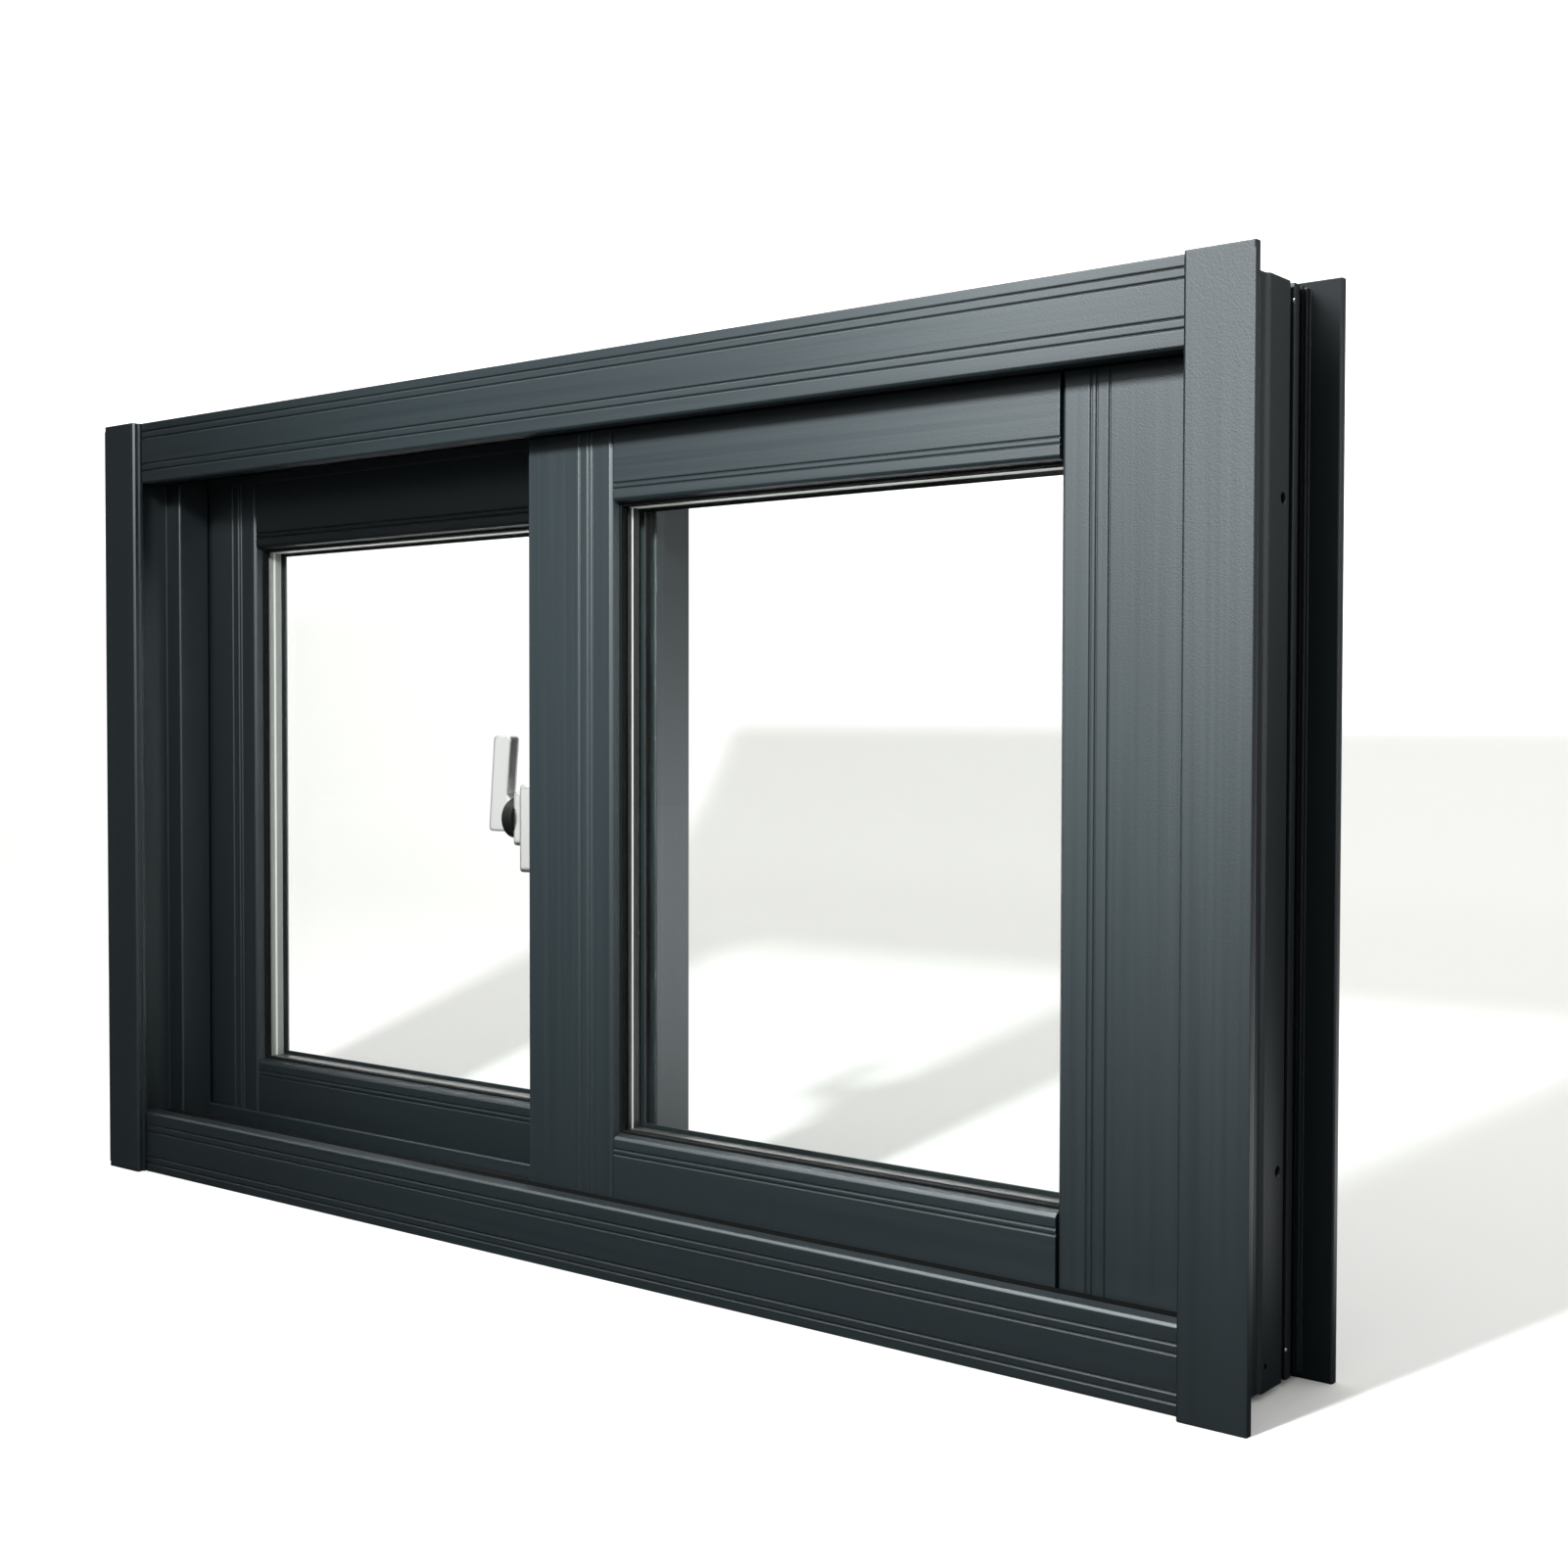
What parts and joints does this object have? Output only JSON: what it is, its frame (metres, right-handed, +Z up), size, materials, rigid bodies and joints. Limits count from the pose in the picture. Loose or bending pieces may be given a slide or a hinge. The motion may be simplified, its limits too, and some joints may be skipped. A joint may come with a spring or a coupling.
{
  "type": "horizontal sliding window",
  "caption": "Horizontal sliding window: glazed sashes in separate tracks of a thermally broken aluminium frame, with a lever handle.",
  "frame": {"origin": "middle of the bottom edge of the frame's bounding box", "axes": "+X along the window's width, to the right seen from outside; +Y from the outside face to the room side; +Z up"},
  "size_m": [1, 0.112, 0.6],
  "materials": {
    "anthracite_coat": "satin powder coat",
    "thermal_break": "matt black polyamide",
    "clear_glass": "clear float glass",
    "spacer_metal": "satin",
    "black_rubber": "matt",
    "black_plastic": "matt",
    "grey_brush": "pile",
    "satin_silver": "satin anodised"
  },
  "bodies": {
    "window": {"front_bottom_rail": "anthracite_coat", "front_brushes": "grey_brush", "front_carriages": "black_plastic", "front_end_beads": "anthracite_coat", "front_gasket": "black_rubber", "front_inner_pane": "clear_glass", "front_interlock": "black_plastic", "front_left_stile": "anthracite_coat", "front_outer_pane": "clear_glass", "front_right_stile": "anthracite_coat", "front_side_beads": "anthracite_coat", "front_spacer": "spacer_metal", "front_top_rail": "anthracite_coat", "handle_boss": "satin_silver", "handle_plate": "satin_silver", "head_break": "thermal_break", "head_inner": "anthracite_coat", "head_outer": "anthracite_coat", "left_jamb_break": "thermal_break", "left_jamb_inner": "anthracite_coat", "left_jamb_outer": "anthracite_coat", "rear_bottom_rail": "anthracite_coat", "rear_brushes": "grey_brush", "rear_carriages": "black_plastic", "rear_end_beads": "anthracite_coat", "rear_gasket": "black_rubber", "rear_inner_pane": "clear_glass", "rear_interlock": "black_plastic", "rear_left_stile": "anthracite_coat", "rear_outer_pane": "clear_glass", "rear_right_stile": "anthracite_coat", "rear_side_beads": "anthracite_coat", "rear_spacer": "spacer_metal", "rear_top_rail": "anthracite_coat", "right_jamb_break": "thermal_break", "right_jamb_inner": "anthracite_coat", "right_jamb_outer": "anthracite_coat", "sill_break": "thermal_break", "sill_inner": "anthracite_coat", "sill_outer": "anthracite_coat", "wind_block": "black_plastic"},
    "handle": {"handle_hub": "black_plastic", "handle_lever": "satin_silver"}
  },
  "joints": [
    {"name": "handle_turn", "type": "hinge", "parent": "window", "child": "handle", "pos_m": [-0.0598, -0.014, 0.295], "axis": [1, 0, 0], "range_deg": [0, 90]}
  ]
}
